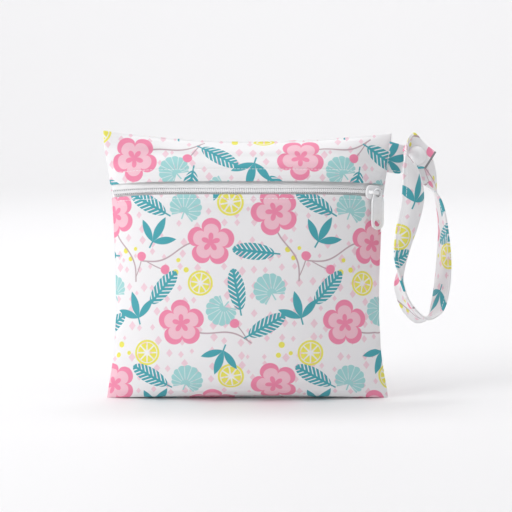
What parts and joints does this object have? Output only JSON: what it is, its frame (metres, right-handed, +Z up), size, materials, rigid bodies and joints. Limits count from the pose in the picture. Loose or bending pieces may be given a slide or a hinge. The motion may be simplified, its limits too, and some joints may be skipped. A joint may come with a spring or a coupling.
{
  "type": "waterproof zipped pouch",
  "caption": "Upright pillow-shaped pouch of printed waterproof cloth with a coil zip across its front and a wrist strap that snaps into a loop at its side seam.",
  "frame": {"origin": "centre of the flat base strip that the pouch stands on", "axes": "+Z up from the base to the top edge, +X along the width towards the wrist strap, -Y out of the front that holds the zip"},
  "size_m": [0.2326, 0.047, 0.1803],
  "materials": {
    "printed_cloth": "smooth coated knit with a printed pattern",
    "zip_tape": "woven tape",
    "zip_coil": "satin nylon coil",
    "slider_enamel": "white enamel, semi-gloss",
    "snap_plastic": "moulded white plastic, semi-gloss"
  },
  "bodies": {
    "pouch": {"body_panel": "printed_cloth", "front_upper_panel": "printed_cloth", "zip_tape_upper": "zip_tape", "zip_tape_lower": "zip_tape", "zip_coil_upper": "zip_coil", "zip_coil_lower": "zip_coil", "zip_slider": "slider_enamel", "wrist_strap": "printed_cloth", "snap_cap": "snap_plastic", "snap_stud": "snap_plastic", "snap_back_cap": "snap_plastic"},
    "pull": {"pull_tab": "slider_enamel"}
  },
  "joints": [
    {"name": "pull_swing", "type": "hinge", "parent": "pouch", "child": "pull", "pos_m": [0.08619, -0.00843, 0.13936], "axis": [0.4257, -0.9048, 0], "range_deg": [-22, 90]}
  ]
}
